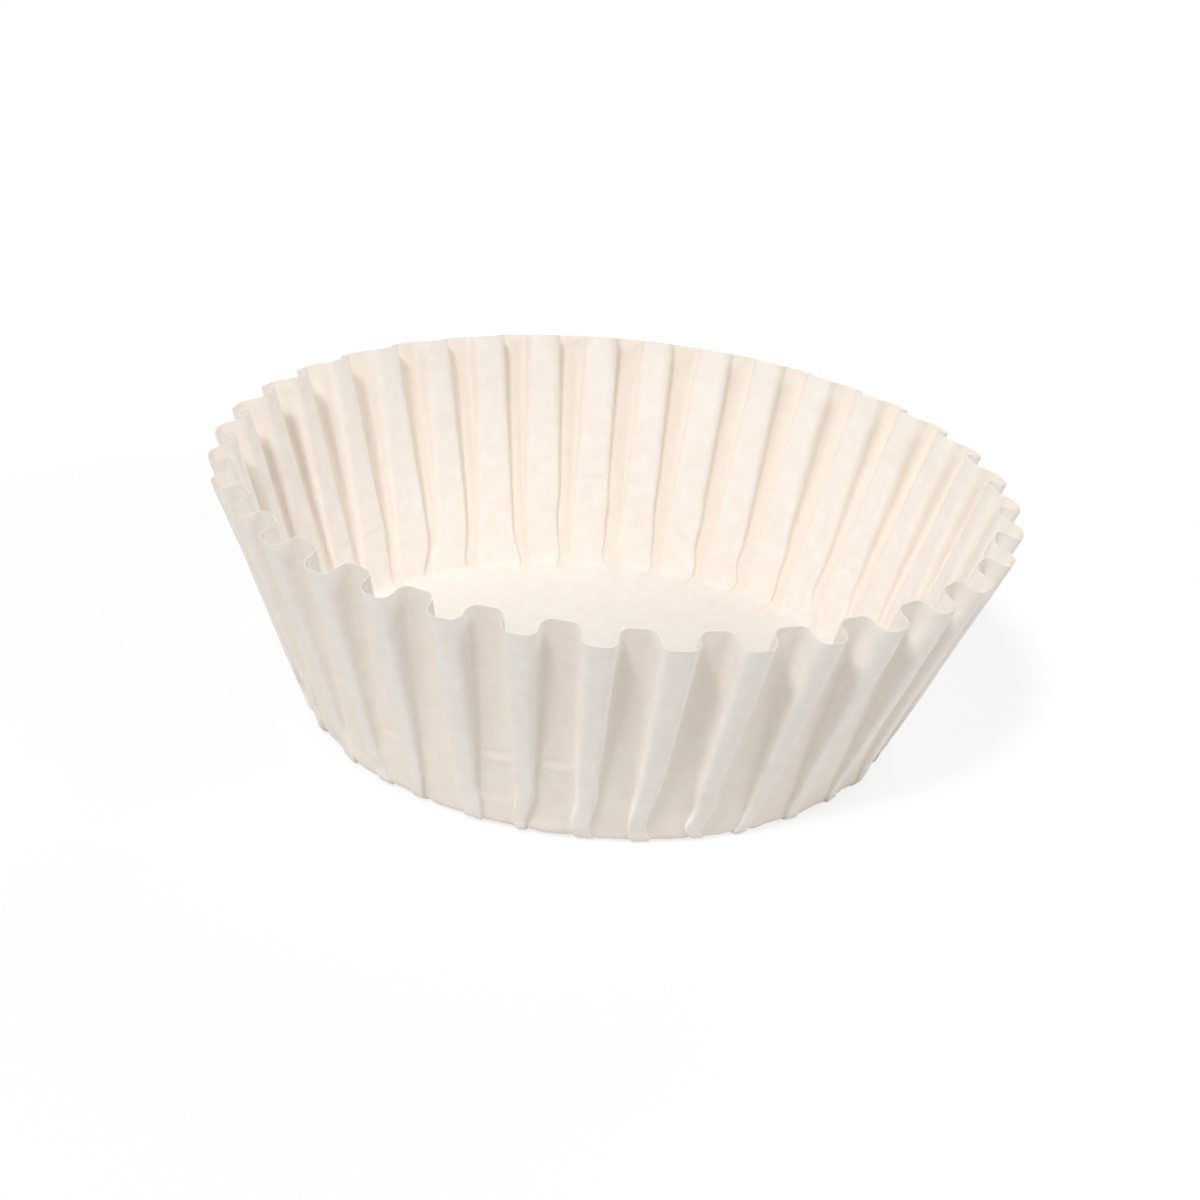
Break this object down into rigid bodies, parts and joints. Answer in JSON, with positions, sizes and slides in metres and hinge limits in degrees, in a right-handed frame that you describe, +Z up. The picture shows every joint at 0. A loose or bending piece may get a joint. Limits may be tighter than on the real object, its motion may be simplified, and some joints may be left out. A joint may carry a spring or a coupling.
{
  "type": "paper coffee filter",
  "caption": "Round basket filter of thin pleated paper: a flat floor and a fluted wall that leans out to a wavy open rim.",
  "frame": {"origin": "middle of the underside of the flat floor, on the surface that the filter stands on", "axes": "+Z up, out of the open mouth; +X through the middle of an outward fold"},
  "size_m": [0.1734, 0.1734, 0.0547],
  "materials": {
    "paper": "matte"
  },
  "bodies": {
    "root": {"paper_filter": "paper"}
  },
  "joints": []
}
